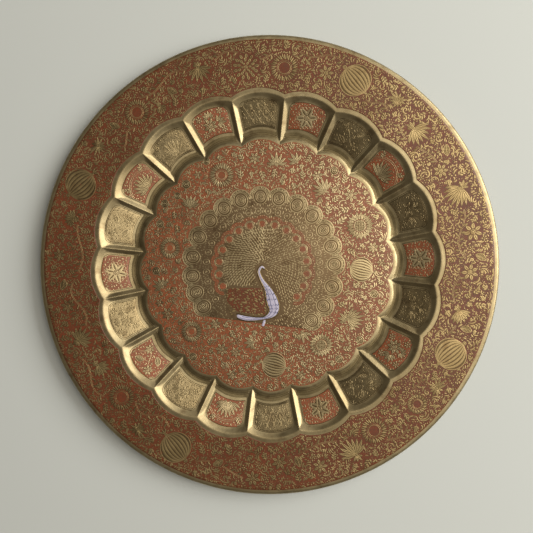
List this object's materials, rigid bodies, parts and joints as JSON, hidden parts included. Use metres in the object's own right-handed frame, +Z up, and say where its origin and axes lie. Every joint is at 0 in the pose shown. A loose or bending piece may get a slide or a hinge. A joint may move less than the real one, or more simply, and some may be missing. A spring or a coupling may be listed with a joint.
{
  "type": "brass charger plate",
  "caption": "Round pressed brass charger with a broad rim, scalloped wells and a raised medallion, engraved all over and filled with red lacquer round an enamelled peacock.",
  "frame": {"origin": "centre of the plate, on the plane under the wells that it rests on", "axes": "+Z up out of the plate's face, +Y towards the top of the bird, +X to the right as the face is seen"},
  "size_m": [0.356, 0.356, 0.0103],
  "materials": {
    "brass_sheet": "aged, hand-polished, darkened in the chasing",
    "red_lacquer": "fired red lacquer, rubbed back level with the brass, satin",
    "pale_enamel": "pale lavender cold enamel, satin",
    "blue_enamel": "blue-grey cold enamel, satin"
  },
  "bodies": {
    "root": {"plate_body": "brass_sheet", "rim_lacquer": "red_lacquer", "rim_blossom_lacquer": "red_lacquer", "medallion_lacquer": "red_lacquer", "feather_eye_lacquer": "red_lacquer", "train_lacquer": "red_lacquer", "well_lacquer_01": "red_lacquer", "well_lacquer_02": "red_lacquer", "well_lacquer_03": "red_lacquer", "well_lacquer_04": "red_lacquer", "well_lacquer_05": "red_lacquer", "well_lacquer_06": "red_lacquer", "well_lacquer_07": "red_lacquer", "well_lacquer_08": "red_lacquer", "well_lacquer_09": "red_lacquer", "well_lacquer_10": "red_lacquer", "peacock_pale_enamel": "pale_enamel", "peacock_blue_enamel": "blue_enamel"}
  },
  "joints": []
}
